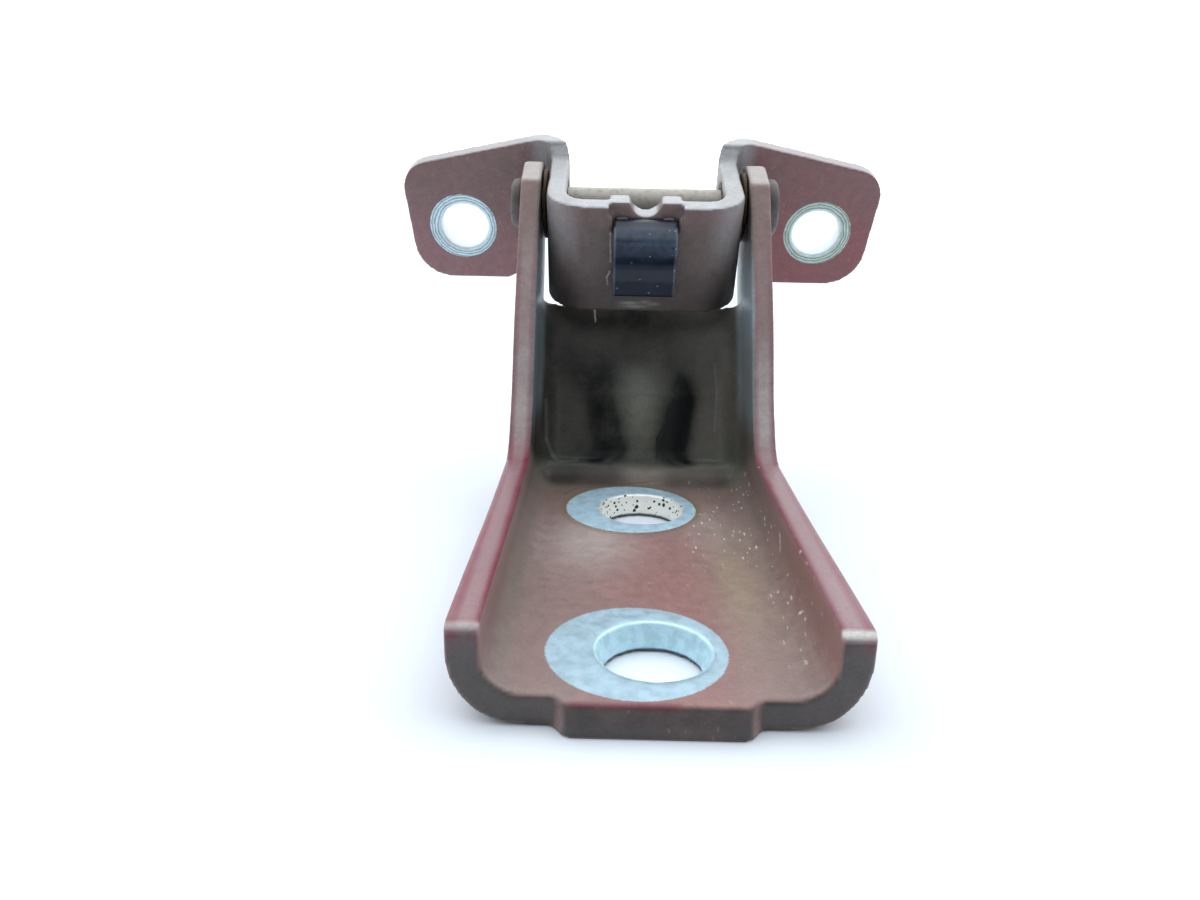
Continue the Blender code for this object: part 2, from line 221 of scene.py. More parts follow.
# Body colour is thickest on the floor's middle, on the flange to the right and along the flanges'
# cut edges, and darkest at the rims of those edges.
floor_red = ramp(np.abs(x - 2), 14, 3) * ramp(y, 26, 8) * inside
flange_red = ramp(x, 17.5, 20.5) * ramp(y, 24, -22) * inside
outer_red = outside * ramp(np.abs(faces[:, 0]), 0.5, 0.9) * ramp(z, 50, 10)
wall_shade = ramp(z, 16, 36) * inside
low_edge = cut_edge * (0.35 * ramp(z, 58, 44) + 0.65 * ramp(y, 44, 26))
rim_red = low_edge * (0.15 + 0.85 * rims + 0.15 * left) * (0.85 + 0.15 * left)
lip_line = (ramp(np.abs(y - LIP_EDGE), 0.8, 0.2) * ramp(z, 3.3, 4.0)
            * ramp(np.abs(x + 4), 7.4, 6.4))

# Painted shade and a pale bloom share the wall: the bloom brings a painted highlight to the rib's
# crown, and the painted shade lies on its flanks, in the pockets and in the bend at its foot.
crown_height = np.interp(climb, (2, 8, 16, 22, 26), (0.25, 0.5, 1, 0.5, 0))
crown = patch((x, -0.2, 0.85 * rib_half)) * crown_height
flank = patch((from_rib, 3.0, 3.0)) * ramp(climb, 28, 15)
left_pocket = patch((x, -14.5, 3.2)) * ramp(climb, 24, 8)
wall_soot = 0.8 - 0.6 * crown + 0.6 * flank - 0.06 * left_pocket - 0.34 * ramp(x, 5, 15)
foot = ramp(np.abs(y - 42), 6.5, 1) * ramp(z, 9, 6) * ramp(np.abs(x - 1), 1, 7) * ramp(beside, 21, 17)
foot_soot = inside * foot * (0.75 - 0.25 * right)
# Painted sheen in the bends beside the flanges and at the wall's foot, laid with the bloom.
side_bends = patch((beside + 0.06 * z, 20.0, 1.9)) * inside * ramp(z, 15, 9)
wall_bend = ramp(y, 30, 42) * inside * ramp(z, 12, 6)

# A pale patch of painted glare on the floor, an olive stain, a painted highlight on the open end's
# top corners, dust with a painted highlight, rubbed places with a painted reflection and flecks from
# handling.
dry_film = patch((x, -9, 8), (y, 10, 11)) + 0.5 * patch((x, 11, 6), (y, 18, 12))
stain = patch((x, 14, 4), (y, -4, 20))
end_face = ramp(faces[:, 1], -0.6, -0.85) * ramp(y, OPEN_END + 0.6, OPEN_END)
# A painted highlight along the rounded top corners of the open end.
corner = outside * ramp(np.abs(y - OPEN_END), 1.1, 0.3) * ramp(z, 11.9, 12.8)
# Dust with a painted highlight on the ears' top faces and down the middle of their fronts.
ear_top = outside * ramp(faces[:, 2], 0.5, 0.85) * ramp(z, 50, 58)
dusty_front = 1 - ramp(z, 27, 38) * (0.6 + 0.3 * right)
ear_front = cut_edge * ramp(z, 13.6, 18) * dusty_front * ramp(z, 56, 48)
far_scuffs = ramp(x, 6, 9) * ramp(y, -6, 10) * ramp(y, 44, 34)
near_scuffs = ramp(x, 16, 19) * ramp(y, -36, -26) * ramp(y, 14, -2)
scuffs = inside * ramp(z, 22, 10) * (far_scuffs + 0.6 * near_scuffs)
lay(
    body_leaf,
    overspray=0.5 + 0.45 * floor_red + 0.55 * flange_red + 0.5 * outer_red - 0.3 * wall_shade,
    bloom=0.3 * side_bends + 0.5 * wall_bend + wall_face * (0.9 * crown + 0.7),
    olive=0.36 * stain * floor,
    film=0.75 * dry_film * floor,
    soot=np.maximum(wall_face * wall_soot, foot_soot),
    pink_edge=low_edge,
    grey_end=0.9 * end_face,
    crimson=rim_red + 0.6 * lip_line,
    bright_corner=corner * (0.55 + 0.45 * right),
    dust=0.75 * ear_top + 0.8 * ear_front * (1 - 0.8 * rims),
    rubbed=flange_face * (0.35 + 0.45 * patch((z, 41, 7)) * right),
    scuffed=scuffs + 0.1 * floor_red,
)


# Satin electro-dipped primer with dry overspray of body colour: a slightly grainy film with soft
# gloss. Where a washer sat, the film is gone and the zinc coat shows, pale, blue-grey and scuffed.
# In millimetres: how wide a drift in the film, a blotch and a grain are, and how far apart flecks,
# the specks in a bore and turned grooves lie. Grains and grooves are finer on the real leaves, and
# are drawn as coarse as they need to show. Flecks are drawn out along the floor.
DRIFT, BLOTCH, GRAIN = 7.6923, 1.8182, 0.41667
FLECKS_APART, SPECKS_APART, GROOVES_APART = 1.0, 0.9091, 0.62
FLECK_DRAW = (1.9, 0.5, 0.8)


def coats(tree, layers, drift, blotch, grain):
    """The first of the finishes all over, and each of the others over what is under it, ragged where
    it thins out, in a slightly uneven shade."""
    ragged = add(tree, "MapRange", {"Value": drift, 1: 0.3, 2: 0.7, 3: 0.84, 4: 1.16}).outputs[0]
    paint = linear(layers[0][1])
    for finish, tone in layers[1:]:
        amount = add(tree, "Attribute", attribute_name=finish).outputs["Fac"]
        covers = {0: amount, 1: ragged}
        cover = add(tree, "Math", covers, operation="MULTIPLY", use_clamp=True).outputs[0]
        coat = {0: cover, 6: paint, 7: linear(tone)}
        paint = add(tree, "Mix", coat, data_type="RGBA").outputs[2]
    shading = add(tree, "MapRange", {"Value": blotch, 1: 0.3, 2: 0.7, 3: 0.88, 4: 1.12}).outputs[0]
    speck = add(tree, "MapRange", {"Value": grain, 1: 0.3, 2: 0.7, 3: 0.9, 4: 1.1}).outputs[0]
    mottle = add(tree, "Math", {0: shading, 1: speck}, operation="MULTIPLY").outputs[0]
    return add(tree, "VectorMath", {0: paint, "Scale": mottle}, operation="SCALE").outputs[0]


def handling_flecks(tree, spot, blotch):
    """Where a part is scuffed: short flecks of pale filler, of uneven size."""
    drawn = add(tree, "VectorMath", {0: spot, 1: FLECK_DRAW}, operation="MULTIPLY").outputs[0]
    drawn = add(tree, "VectorMath", {0: drawn, 1: blotch}, operation="ADD").outputs[0]
    dots = add(tree, "TexVoronoi", {"Vector": drawn, "Scale": 1 / FLECKS_APART})
    lot = add(tree, "SeparateXYZ", {0: dots.outputs["Color"]}).outputs[0]
    size = add(tree, "MapRange", {"Value": lot, 1: 0.36, 2: 1, 3: 0, 4: 0.38}).outputs[0]
    spread = add(tree, "MapRange", {"Value": blotch, 1: 0.42, 2: 0.6, 3: 0.5, 4: 1.2}).outputs[0]
    size = add(tree, "Math", {0: size, 1: spread}, operation="MULTIPLY").outputs[0]
    within = {0: size, 1: dots.outputs["Distance"]}
    deep = add(tree, "Math", within, operation="SUBTRACT").outputs[0]
    chip = add(tree, "MapRange", {"Value": deep, 1: 0, 2: 0.12, 4: 0.85}).outputs[0]
    scuffed = add(tree, "Attribute", attribute_name="scuffed").outputs["Fac"]
    return add(tree, "Math", {0: chip, 1: scuffed}, operation="MULTIPLY").outputs[0]


def single_mark(tree, paint, spot, wander, start, end, half, tone, strength):
    """One scratch, run or line of painted crease shade along the line between two points, this wide
    to each side.
    """
    run = Vector(end) - Vector(start)
    arm = add(tree, "VectorMath", {0: spot, 1: start}, operation="SUBTRACT").outputs[0]
    per_run = {0: arm, 1: run / run.length_squared}
    share = add(tree, "VectorMath", per_run, operation="DOT_PRODUCT").outputs["Value"]
    held = add(tree, "Clamp", {"Value": share}).outputs[0]
    nearest = add(tree, "VectorMath", {0: run, "Scale": held}, operation="SCALE").outputs[0]
    gap = add(tree, "VectorMath", {0: arm, 1: nearest}, operation="DISTANCE").outputs["Value"]
    gap = add(tree, "Math", {0: gap, 1: wander}, operation="ADD").outputs[0]
    fade = {"Value": gap, 1: half + 0.1, 2: half - 0.1, 4: strength}
    mark = add(tree, "MapRange", fade).outputs[0]
    over = {0: mark, 6: paint, 7: linear(tone)}
    return add(tree, "Mix", over, data_type="RGBA").outputs[2]


def from_axis(tree, spot, middle, axis):
    """How far each place is from the line through middle along axis."""
    arm = add(tree, "VectorMath", {0: spot, 1: middle}, operation="SUBTRACT").outputs[0]
    side = add(tree, "VectorMath", {0: arm, 1: axis}, operation="CROSS_PRODUCT").outputs[0]
    return add(tree, "VectorMath", {0: side}, operation="LENGTH").outputs["Value"]


def washer_ring(tree, paint, spot, blotch, wander, washer):
    """The bare ring that a washer leaves, with a stain round it or turned grooves where it has them:
    the new paint, and where the ring lies."""
    radius = washer["ring_radius"]
    from_ring = from_axis(tree, spot, washer["ring"], washer["axis"])
    rim = add(tree, "Math", {0: from_ring, 1: wander}, operation="ADD").outputs[0]
    under = add(tree, "MapRange", {"Value": rim, 1: radius + 0.12, 2: radius - 0.12}).outputs[0]
    normal = add(tree, "NewGeometry").outputs["Normal"]
    outward = {0: normal, 1: washer["axis"]}
    tilt = add(tree, "VectorMath", outward, operation="DOT_PRODUCT").outputs["Value"]
    top = add(tree, "MapRange", {"Value": tilt, 1: 0.45, 2: 0.7}).outputs[0]
    ring = add(tree, "Math", {0: under, 1: top}, operation="MULTIPLY").outputs[0]
    if "stain" in washer:
        halo = add(tree, "MapRange", {"Value": rim, 1: radius + 1.6, 2: radius, 4: 0.9}).outputs[0]
        patchy = add(tree, "MapRange", {"Value": blotch, 1: 0.36, 2: 0.56}).outputs[0]
        stain = add(tree, "Math", {0: halo, 1: patchy}, operation="MULTIPLY").outputs[0]
        stain = add(tree, "Math", {0: stain, 1: top}, operation="MULTIPLY").outputs[0]
        over = {0: stain, 6: paint, 7: linear(washer["stain"])}
        paint = add(tree, "Mix", over, data_type="RGBA").outputs[2]
    worn = {"Value": blotch, 1: 0.35, 2: 0.62, 3: 0.84, 4: 1.06}
    scour = add(tree, "MapRange", worn).outputs[0]
    if washer.get("turned"):
        from_bore = from_axis(tree, spot, washer["bore"], washer["axis"])
        phase = {0: from_bore, 1: 2 * pi / GROOVES_APART}
        groove = add(tree, "Math", phase, operation="MULTIPLY").outputs[0]
        uneven = add(tree, "Math", {0: blotch, 1: 9}, operation="MULTIPLY").outputs[0]
        groove = add(tree, "Math", {0: groove, 1: uneven}, operation="ADD").outputs[0]
        groove = add(tree, "Math", {0: groove}, operation="SINE").outputs[0]
        groove = add(tree, "MapRange", {"Value": groove, 1: -1, 2: 1, 3: 0.46, 4: 1.12}).outputs[0]
        scour = add(tree, "Math", {0: scour, 1: groove}, operation="MULTIPLY").outputs[0]
    coat = {0: linear(washer["zinc"])[:3], "Scale": scour}
    zinc = add(tree, "VectorMath", coat, operation="SCALE").outputs[0]
    over = {0: ring, 6: paint, 7: zinc}
    return add(tree, "Mix", over, data_type="RGBA").outputs[2], ring


def bore_lining(tree, paint, spot, blotch, washer):
    """The bolt hole's wall, worn, specked or with a painted shade along its foot, where it has those.
    """
    wall = washer["bore_radius"] + 0.45
    from_bore = from_axis(tree, spot, washer["bore"], washer["axis"])
    in_bore = add(tree, "MapRange", {"Value": from_bore, 1: wall + 0.1, 2: wall - 0.1}).outputs[0]
    lining = linear(washer["lining"])
    if "mottle" in washer:
        worn = add(tree, "MapRange", {"Value": blotch, 1: 0.44, 2: 0.58, 4: 0.35}).outputs[0]
        over = {0: worn, 6: lining, 7: linear(washer["mottle"])}
        lining = add(tree, "Mix", over, data_type="RGBA").outputs[2]
    if "specks" in washer:
        scattered = {"Vector": spot, "Scale": 1 / SPECKS_APART}
        cells = add(tree, "TexVoronoi", scattered).outputs["Distance"]
        reach = {"Value": blotch, 1: 0.35, 2: 0.65, 3: 0.1, 4: 0.42}
        size = add(tree, "MapRange", reach).outputs[0]
        inner = add(tree, "Math", {0: cells, 1: size}, operation="LESS_THAN").outputs[0]
        over = {0: inner, 6: lining, 7: linear(washer["specks"])}
        lining = add(tree, "Mix", over, data_type="RGBA").outputs[2]
    # A painted shade along the bore's foot.
    if "rim" in washer:
        height = add(tree, "SeparateXYZ", {0: spot}).outputs[2]
        dirt = add(tree, "MapRange", {"Value": height, 1: 0.75, 2: 0.45, 4: 0.9}).outputs[0]
        over = {0: dirt, 6: lining, 7: linear(washer["rim"])}
        lining = add(tree, "Mix", over, data_type="RGBA").outputs[2]
    return add(tree, "Mix", {0: in_bore, 6: paint, 7: lining}, data_type="RGBA").outputs[2]


def primer_with_overspray(name, layers, washers, marks):
    """The leaves' dipped and oversprayed primer, from these finishes, bolt holes and marks."""
    material, tree, shader, spot = start_material(name)
    wide = {"Vector": spot, "Scale": 1 / DRIFT, "Detail": 5, "Roughness": 0.62}
    drift = add(tree, "TexNoise", wide).outputs["Fac"]
    middling = {"Vector": spot, "Scale": 1 / BLOTCH, "Detail": 4, "Roughness": 0.6}
    blotch = add(tree, "TexNoise", middling).outputs["Fac"]
    fine = {"Vector": spot, "Scale": 1 / GRAIN, "Detail": 3, "Roughness": 0.6}
    grain = add(tree, "TexNoise", fine).outputs["Fac"]

    paint = coats(tree, layers, drift, blotch, grain)
    wear = handling_flecks(tree, spot, blotch)
    over = {0: wear, 6: paint, 7: linear("#d9d4cb")}
    paint = add(tree, "Mix", over, data_type="RGBA").outputs[2]
    edge = {"Value": grain, 1: 0.3, 2: 0.7, 3: -0.12, 4: 0.12}
    wander = add(tree, "MapRange", edge).outputs[0]
    for mark in marks:
        paint = single_mark(tree, paint, spot, wander, *mark)
    bare = 0
    for washer in washers:
        paint, ring = washer_ring(tree, paint, spot, blotch, wander, washer)
        paint = bore_lining(tree, paint, spot, blotch, washer)
        bare = add(tree, "Math", {0: bare, 1: ring}, operation="MAXIMUM").outputs[0]

    metal = add(tree, "Math", {0: bare, 1: 0.45}, operation="MULTIPLY").outputs[0]
    gloss = add(tree, "MapRange", {"Value": blotch, 1: 0.3, 2: 0.7, 3: 0.34, 4: 0.46}).outputs[0]
    # Where shade is painted, the specular level is lowered too.
    sooty = add(tree, "Attribute", attribute_name="soot").outputs["Fac"]
    sheen = add(tree, "MapRange", {"Value": sooty, 3: 0.5, 4: 0.26}).outputs[0]
    height = add(tree, "Math", {0: grain, 1: wear}, operation="ADD").outputs[0]
    relief = {"Height": height, "Strength": 0.5, "Distance": 0.04 * MM}
    tree.links.new(paint, shader.inputs["Base Color"])
    tree.links.new(metal, shader.inputs["Metallic"])
    tree.links.new(gloss, shader.inputs["Roughness"])
    tree.links.new(sheen, shader.inputs["Specular IOR Level"])
    tree.links.new(add(tree, "Bump", relief).outputs[0], shader.inputs["Normal"])
    return material


body_finishes = (
    ("primer", "#7a726d"),
    ("overspray", "#896461"),
    # The bloom is the wall's own grey-green, with a painted highlight on the rib's crown and a
    # painted sheen in the bends.
    ("bloom", "#787a70"),
    ("olive", "#a09576"),
    # A pale painted glare on the floor.
    ("film", "#aea39f"),
    # Painted shade, nearly black.
    ("soot", "#07090a"),
    ("pink_edge", "#8a7075"),
    ("grey_end", "#3f3b3a"),
    ("crimson", "#6f2238"),
    ("bright_corner", "#d6d2cf"),
    # Dust with a painted highlight.
    ("dust", "#aba3a1"),
    # Rubbed places with a painted bluish reflection.
    ("rubbed", "#a9bcc4"),
)
body_hole = dict(axis=(0, 0, 1), ring_radius=BODY_WASHER, bore_radius=BODY_BORE)
# Each bolt's rim colour is a painted shade along the foot of its bore.
body_bolts = (
    dict(body_hole, ring=(-2.27, -26.3, 0), bore=(0, -BODY_BOLT_Y, 0), zinc="#a3bfce",
         lining="#c6e8f4", mottle="#8fa9b7", rim="#15222e"),
    # The far ring's zinc and bore lining are painted paler than the near one's, a painted light that
    # makes up for the shade under the wall.
    dict(body_hole, ring=(-1.9, 26.0, 0), bore=(0, BODY_BOLT_Y, 0), zinc="#c9ebff",
         lining="#f6f9f4", stain="#6f6134", specks="#241d19", rim="#2a2622"),
)
SCRATCH, CREASE, RUN, SHINE, RUST = "#cfd0cb", "#08090a", "#4e4426", "#767c7d", "#6e4326"


def on_pressed_wall(across_by, up_by):
    """The place on the wall, as pressed, this far across and up it."""
    miss = (x - across_by) ** 2 + (climb - up_by) ** 2 + 100 * (wall_face < 0.5)
    return tuple(at[np.argmin(miss)])


def along_wall(path, half, tone, strength):
    """Marks that follow a path over the wall."""
    places = [on_pressed_wall(*stop) for stop in path]
    return [(start, end, half, tone, strength) for start, end in zip(places, places[1:])]


# Each mark has its two ends, its half width, its colour and how strong it is.
# The crease is drawn as a line of painted shade.
crease_path = [(9.0, 20.6), (8.8, 17.9), (7.6, 14.3), (5.5, 11.3), (4.0, 8.8), (3.6, 4.5)]
right_shine = [(15.6, 25.2), (16.1, 19.3), (15.6, 11)]
left_shine = [(-19.4, 16), (-18.9, 8), (-17.6, 4.6), (-15.5, 3.6), (-13, 3.8)]
body_marks = (
    *along_wall(crease_path, 0.3, CREASE, 0.8),
    *along_wall(right_shine, 0.24, SHINE, 0.4),
    *along_wall(left_shine, 0.5, SHINE, 0.3),
    ((2.2, 33.2, 3.6), (3.4, 32.9, 3.2), 0.5, RUST, 0.9),
    ((-9.8, 60.7, 35.9), (-9.6, 59.4, 33.7), 0.16, SCRATCH, 0.7),
    ((20.9, 0.8, 9.9), (20.6, -0.8, 8.0), 0.3, SCRATCH, 0.9),
    ((20.9, -13.5, 14.3), (20.9, -12.9, 12.9), 0.35, SCRATCH, 0.8),
    ((20.9, -22.2, 9.6), (20.3, -19.1, 6.5), 0.26, SCRATCH, 0.9),
    ((20.9, -26.9, 10.8), (20.5, -24.6, 7.8), 0.2, SCRATCH, 0.9),
    ((20.9, -15.9, 9.7), (20.7, -16.0, 8.2), 0.2, SCRATCH, 0.8),
    ((-14.7, 32.7, 4.3), (-12.8, 36.2, 4.3), 0.25, RUN, 0.6),
    ((-12.8, 36.2, 4.3), (-5.2, 38.6, 4.3), 0.2, RUN, 0.6),
    ((-5.2, 38.6, 4.3), (6.5, 41.8, 4.4), 0.2, RUN, 0.6),
)
body_paint = primer_with_overspray(
    "primer_with_red_overspray", body_finishes, body_bolts, body_marks)
body_leaf.data.materials.append(body_paint)
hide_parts("body_leaf")
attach(body_leaf, "body_side")


# ---- Door leaf -----------------------------------------------------------------------------------
# A hat section pressed from 4 mm steel, whose web and sides run round the pin and whose two wings
# bolt to the door's edge. It has the same primer, and more of the red reaches the wings' feet.

DOOR_SKIN = 0.38 * MM
LEAN = radians(21.4)
PIN = np.array((0, 63.4, 57.5))
LEAF_BACK = np.array((0, cos(LEAN), sin(LEAN)))
LEAF_UP = np.array((0, -sin(LEAN), cos(LEAN)))
JOGGLE_HALF = 7.2
JOGGLE_CLOSING = 0.7
DOOR_BOLT_X = 40
DOOR_BOLT_DEPTH = 13
DOOR_BOLT_RISE = -11.45
DOOR_BORE = 5.3
DOOR_WASHER = 7.55


def on_leaf(across_by, depth, rise):
    """A place on the door leaf, in millimetres, from the pin's middle."""
    return tuple(PIN + np.array((across_by, 0, 0)) + LEAF_BACK * depth + LEAF_UP * rise)


door_leaf = skin_of("door_leaf_pressing", "door_leaf", DOOR_SKIN, 5)
at = read(door_leaf, "co")
faces = read(door_leaf, "normal")
x = at[:, 0]
depth = (at - PIN) @ LEAF_BACK
rise = (at - PIN) @ LEAF_UP

# The joggle behind the buffer closes in to the buffer's own width at its foot.
joggle_side = patch((np.abs(x), JOGGLE_HALF, 0.8)) * ramp(depth, -12.8, -13.4)
closing = joggle_side * ramp(rise, 4.8, 3.6) * ramp(rise, 0, 1)
at[:, 0] -= JOGGLE_CLOSING * closing * np.sign(x)
move_to(door_leaf, at)

# Red grows towards the wings' feet and their right side, painted shade towards the web's lower
# corners, and dust with a painted highlight on the cut top edge, a painted light on the left wing's
# foot and a painted highlight on the web's upper sides. Under the buffer the web is worn in short
# strokes.
beside = np.abs(x)
wing = ramp(beside, 21, 26)
cut_top = ramp(faces @ LEAF_UP, 0.6, 0.85) * ramp(rise, -4, 0)
web = ramp(faces @ -LEAF_BACK, 0.5, 0.9) * ramp(depth, -11, -14)
wing_red = wing * (0.3 + 0.25 * ramp(x, 0, 20) + 0.7 * ramp(rise, 0, -24))
# Painted shade, deepest towards the web's lower corners.
corner_soot = 0.3 + 0.5 * ramp(beside, 10, 18)
top_dust = cut_top * (1 - 0.42 * ramp(beside, 12, 16))
wing_dust = wing * ramp(x, 0, -20) * ramp(rise, 0, -18)
side_dust = ramp(beside, 12, 17) * (1 - wing) * ramp(rise, -9, -3)
worn_strokes = sum(
    strength * patch((x, middle, half), (rise, height, 0.33))
    for middle, half, height, strength in (
        (-2.6, 1.7, -14.3, 0.95),
        (-1.4, 2.3, -15.1, 0.8),
        (2.2, 1.3, -14.5, 0.6),
        (0.4, 1.1, -14.0, 0.5),
    ))
lay(
    door_leaf,
    overspray=wing_red + 0.12 + 0.2 * web * ramp(rise, 0, 5),
    soot=web * ramp(rise, -5, -15) * corner_soot * (0.85 + 0.15 * ramp(x, -12, 12)),
    dust=top_dust + 0.13 * wing_dust + 0.25 * side_dust,
    scuffed=0.08 * wing,
    worn=web * worn_strokes,
)
door_finishes = (
    ("primer", "#69635f"),
    ("overspray", "#865053"),
    # Painted shade, nearly black.
    ("soot", "#131416"),
    # Dust with a painted highlight.
    ("dust", "#b2b5b8"),
    ("worn", "#a3a89f"),
)
door_hole = dict(axis=tuple(-LEAF_BACK), ring_radius=DOOR_WASHER, bore_radius=DOOR_BORE,
                 lining="#dfeaee", turned=True)
door_bolts = tuple(
    dict(door_hole, zinc=zinc, ring=on_leaf(ring_x, DOOR_BOLT_DEPTH, DOOR_BOLT_RISE),
         bore=on_leaf(bore_x, DOOR_BOLT_DEPTH, DOOR_BOLT_RISE))
    for ring_x, bore_x, zinc in ((-40.4, -DOOR_BOLT_X, "#cbe2ea"), (40.2, DOOR_BOLT_X, "#b6c8bd"))
)
door_marks = (
    ((-6.9, 48.5, 52.7), (-6.7, 50.8, 46.9), 0.1, SCRATCH, 0.6),
    ((-6.8, 51.5, 45.0), (-7.4, 52.0, 43.8), 0.12, SCRATCH, 0.8),
    ((-7.4, 52.0, 43.8), (-7.2, 52.6, 42.3), 0.1, SCRATCH, 0.6),
)
door_paint = primer_with_overspray("primer_on_door_leaf", door_finishes, door_bolts, door_marks)
door_leaf.data.materials.append(door_paint)
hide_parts("door_leaf")
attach(door_leaf, "door_side")


# ---- Hinge pin and bushes ------------------------------------------------------------------------
# The pin is 7 mm drawn steel with an upset head, pushed through both ears and riveted over at the
# far end, then dipped with the leaves. It turns in two flanged bushes of oil-filled sintered
# bronze, whose flanges keep the leaves apart.

SHANK = 3.5
HEAD = 5.8
RIVETED_END = 5.0
BUSH_BORE = 3.8
BUSH_BARREL = 4.7
BUSH_FLANGE = 7.0
BUSH_FROM, BUSH_SHOULDER, BUSH_TO = 15.7, 20.0, 20.6


def turned(name, profile, sides):
    """A piece turned about the pin's axis from (distance along it, radius), closed on itself."""
    shape = bmesh.new()
    hoops = []
    for along, radius in profile:
        if radius == 0:
            hoops.append([shape.verts.new(Vector((along, PIN[1], PIN[2])) * MM)])
            continue
        angles = [2 * pi * step / sides for step in range(sides)]
        hoops.append([
            shape.verts.new(Vector((along, PIN[1] + radius * cos(a), PIN[2] + radius * sin(a))) * MM)
            for a in angles])
    closed = profile[0][1] > 0
    for one, two in zip(hoops, hoops[1:] + (hoops[:1] if closed else [])):
        for step in range(sides):
            after = (step + 1) % sides
            near = [one[step % len(one)], one[after % len(one)]]
            far = [two[after % len(two)], two[step % len(two)]]
            shape.faces.new(list(dict.fromkeys(near + far)))
    bmesh.ops.recalc_face_normals(shape, faces=shape.faces)
    for face in shape.faces:
        face.smooth = True
    mesh = bpy.data.meshes.new(name)
    shape.to_mesh(mesh)
    shape.free()
    piece = bpy.data.objects.new(name, mesh)
    scene.collection.objects.link(piece)
    edges = piece.modifiers.new("broken_edges", "BEVEL")
    edges.width = 0.12 * MM
    edges.segments = 2
    edges.limit_method = "ANGLE"
    edges.angle_limit = radians(35)
    return piece


def arc(middle, radius, start, end, steps=6):
    """Points of a rounded shoulder of a profile, between two angles in degrees."""
    angles = [radians(start + (end - start) * step / steps) for step in range(steps + 1)]
    return [(middle[0] + radius * cos(a), middle[1] + radius * sin(a)) for a in angles]


# From the middle of the head's face, over its rim, along the shank and over the riveted end.
pin_profile = [
    (EAR_FACE + 2.1, 0),
    (EAR_FACE + 2.1, 2.2),
    *arc((EAR_FACE + 0.9, 4.6), 1.2, 0, 90),
    (EAR_FACE, HEAD),
    (EAR_FACE, SHANK),
    (-EAR_FACE, SHANK),
    (-EAR_FACE, RIVETED_END),
    *arc((-EAR_FACE - 0.7, 3.6), 1.4, 90, 180),
    (-EAR_FACE - 1.7, 1.6),
    (-EAR_FACE - 1.5, 0),
]
hinge_pin = turned("pin_with_riveted_end", pin_profile, 72)
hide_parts("hinge_pin")
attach(hinge_pin, "body_side")

# Drawn steel, primed at its two ends: satin, with black grease in patches about a millimetre wide.
GREASE_PATCH = 1.25
pin_steel, tree, shader, spot = start_material("primed_pin_steel")
grease_noise = {"Vector": spot, "Scale": 1 / GREASE_PATCH, "Detail": 5, "Roughness": 0.7}
blotch = add(tree, "TexNoise", grease_noise).outputs["Fac"]
along_pin = add(tree, "SeparateXYZ", {0: spot}).outputs[0]
off_middle = add(tree, "Math", {0: along_pin}, operation="ABSOLUTE").outputs[0]
ends = add(tree, "MapRange", {"Value": off_middle, 1: 24, 2: 25.2}).outputs[0]
primed = {0: ends, 6: linear("#a6a29a"), 7: linear("#5a5352")}
tone = add(tree, "Mix", primed, data_type="RGBA").outputs[2]
grease = add(tree, "MapRange", {"Value": blotch, 1: 0.5, 2: 0.8, 4: 0.55}).outputs[0]
greased = {0: grease, 6: tone, 7: linear("#3a342f")}
tone = add(tree, "Mix", greased, data_type="RGBA").outputs[2]
gloss = add(tree, "MapRange", {"Value": blotch, 1: 0.3, 2: 0.7, 3: 0.34, 4: 0.6}).outputs[0]
skin = add(tree, "Bump", {"Height": blotch, "Strength": 0.4, "Distance": 0.06 * MM}).outputs[0]
tree.links.new(tone, shader.inputs["Base Color"])
tree.links.new(gloss, shader.inputs["Roughness"])
tree.links.new(skin, shader.inputs["Normal"])
shader.inputs["Metallic"].default_value = 0.25
hinge_pin.data.materials.append(pin_steel)

# Sintered bronze: a matt brown metal, black with old grease in its pores, which are drawn a third
# of a millimetre wide so that they show.
PORE = 1 / 3
bronze, tree, shader, spot = start_material("sintered_bronze")
pore_noise = {"Vector": spot, "Scale": 1 / PORE, "Detail": 4, "Roughness": 0.7}
pores = add(tree, "TexNoise", pore_noise).outputs["Fac"]
clean = add(tree, "MapRange", {"Value": pores, 1: 0.35, 2: 0.65}).outputs[0]
blackened = {0: clean, 6: linear("#2b231c"), 7: linear("#5a452c")}
tone = add(tree, "Mix", blackened, data_type="RGBA").outputs[2]
skin = add(tree, "Bump", {"Height": pores, "Strength": 0.5, "Distance": 0.05 * MM}).outputs[0]
tree.links.new(tone, shader.inputs["Base Color"])
tree.links.new(skin, shader.inputs["Normal"])
shader.inputs["Metallic"].default_value = 0.7
shader.inputs["Roughness"].default_value = 0.6

bush_profile = (
    (BUSH_TO, BUSH_BORE),
    (BUSH_TO, BUSH_FLANGE),
    (BUSH_SHOULDER, BUSH_FLANGE),
    (BUSH_SHOULDER, BUSH_BARREL),
    (BUSH_FROM, BUSH_BARREL),
    (BUSH_FROM, BUSH_BORE),
)
for node, way in (("bush_left", -1), ("bush_right", 1)):
    placed = [(way * along, radius) for along, radius in bush_profile]
    bush = turned(node + "_sintered", placed, 64)
    bush.data.materials.append(bronze)
    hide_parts(node)
    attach(bush, "door_side")


# ---- Stop buffer ---------------------------------------------------------------------------------
# Moulded in black-blue rubber and pulled through the web's window, where its hook holds it. Its two
# lobes meet the stop, and its top swells up over the web, as far as the web's notch.

BUFFER_SKIN = 0.22 * MM
BUFFER_HALF = 6.0
TOP_SWELL = 1.25
SIDE_SWELL = 0.75
SINK_DEPTH = 0.25

stop_buffer = skin_of("rubber_stop_buffer", "stop_buffer", BUFFER_SKIN, 5)
at = read(stop_buffer, "co")
x = at[:, 0]
depth = (at - PIN) @ LEAF_BACK
rise = (at - PIN) @ LEAF_UP

